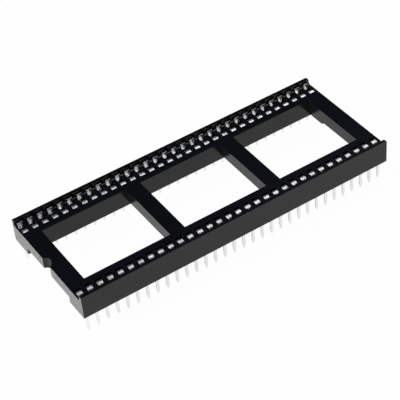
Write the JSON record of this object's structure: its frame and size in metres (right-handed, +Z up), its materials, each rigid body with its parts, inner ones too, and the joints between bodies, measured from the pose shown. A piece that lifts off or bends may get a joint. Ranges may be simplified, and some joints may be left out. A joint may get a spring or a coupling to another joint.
{
  "type": "ic socket",
  "caption": "Long open-frame dual-in-line chip socket: a black ladder-shaped moulding with rows of twin-leaf tinned contacts, solder tails and an index notch.",
  "frame": {"origin": "on the board surface under the socket, midway between the two rows of tails and midway along them", "axes": "+X along the rows from the notched end to the plain end, +Y towards the far row, +Z up from the board"},
  "size_m": [0.0568, 0.0214, 0.0081],
  "materials": {
    "black_plastic": "glossy black moulding",
    "tinned_contact": "bright tin plate"
  },
  "bodies": {
    "socket": {"housing": "black_plastic", "contact_pair_01": "tinned_contact", "contact_pair_02": "tinned_contact", "contact_pair_03": "tinned_contact", "contact_pair_04": "tinned_contact", "contact_pair_05": "tinned_contact", "contact_pair_06": "tinned_contact", "contact_pair_07": "tinned_contact", "contact_pair_08": "tinned_contact", "contact_pair_09": "tinned_contact", "contact_pair_10": "tinned_contact", "contact_pair_11": "tinned_contact", "contact_pair_12": "tinned_contact", "contact_pair_13": "tinned_contact", "contact_pair_14": "tinned_contact", "contact_pair_15": "tinned_contact", "contact_pair_16": "tinned_contact", "contact_pair_17": "tinned_contact", "contact_pair_18": "tinned_contact", "contact_pair_19": "tinned_contact", "contact_pair_20": "tinned_contact", "contact_pair_21": "tinned_contact", "contact_pair_22": "tinned_contact", "contact_pair_23": "tinned_contact", "contact_pair_24": "tinned_contact", "contact_pair_25": "tinned_contact", "contact_pair_26": "tinned_contact", "contact_pair_27": "tinned_contact", "contact_pair_28": "tinned_contact", "contact_pair_29": "tinned_contact", "contact_pair_30": "tinned_contact", "contact_pair_31": "tinned_contact", "contact_pair_32": "tinned_contact"},
    "near_inner": {"near_inner_leaves": "tinned_contact"},
    "near_outer": {"near_outer_leaves": "tinned_contact"},
    "far_inner": {"far_inner_leaves": "tinned_contact"},
    "far_outer": {"far_outer_leaves": "tinned_contact"}
  },
  "joints": [
    {"name": "near_inner_flex", "type": "hinge", "parent": "socket", "child": "near_inner", "pos_m": [0, -0.00923, 0.0009], "axis": [-1, 0, 0], "range_deg": [0, 2.5], "stiffness_Nm_per_rad": 0.4},
    {"name": "near_outer_flex", "type": "hinge", "parent": "socket", "child": "near_outer", "pos_m": [0, -0.00968, 0.0009], "axis": [1, 0, 0], "range_deg": [0, 2.5], "stiffness_Nm_per_rad": 0.4},
    {"name": "far_inner_flex", "type": "hinge", "parent": "socket", "child": "far_inner", "pos_m": [0, 0.00923, 0.0009], "axis": [1, 0, 0], "range_deg": [0, 2.5], "stiffness_Nm_per_rad": 0.4},
    {"name": "far_outer_flex", "type": "hinge", "parent": "socket", "child": "far_outer", "pos_m": [0, 0.00968, 0.0009], "axis": [-1, 0, 0], "range_deg": [0, 2.5], "stiffness_Nm_per_rad": 0.4}
  ]
}
